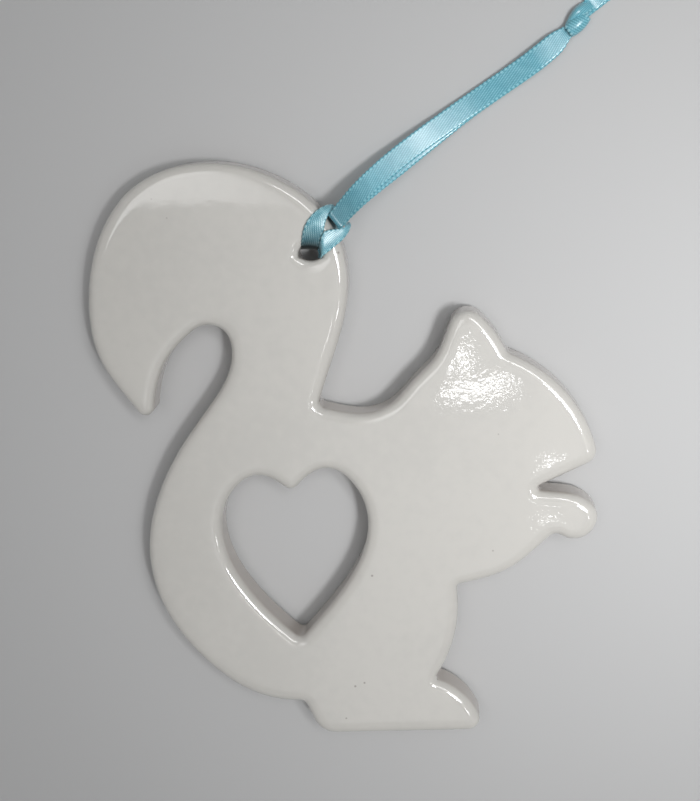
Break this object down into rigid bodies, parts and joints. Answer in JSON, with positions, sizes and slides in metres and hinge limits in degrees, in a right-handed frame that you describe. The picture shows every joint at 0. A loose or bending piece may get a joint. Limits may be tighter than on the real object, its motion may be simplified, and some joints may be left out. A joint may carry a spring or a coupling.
{
  "type": "squirrel ornament",
  "caption": "Flat glazed ceramic squirrel with a heart-shaped window, hung on a narrow satin ribbon that is hitched through a hole in its tail and knotted.",
  "frame": {"origin": "under the middle of the slab's outline, on the surface that it lies on", "axes": "+X towards the squirrel's nose, +Y towards the top of its tail, +Z out of the glazed front face"},
  "size_m": [0.0759, 0.1119, 0.007],
  "materials": {
    "white_glaze": "clear gloss glaze over white clay",
    "aqua_satin": "satin weave"
  },
  "bodies": {
    "plaque": {"squirrel_plaque": "white_glaze", "ribbon_hitch": "aqua_satin"},
    "hanging_loop": {"ribbon_strand_upper": "aqua_satin", "ribbon_strand_lower": "aqua_satin", "ribbon_knot": "aqua_satin", "ribbon_tail_upper": "aqua_satin", "ribbon_tail_lower": "aqua_satin"}
  },
  "joints": [
    {"name": "ribbon_swing", "type": "hinge", "parent": "plaque", "child": "hanging_loop", "pos_m": [-0.00102, 0.03256, 0.0062], "axis": [0.6293, -0.7771, 0], "range_deg": [-75, 90]}
  ]
}
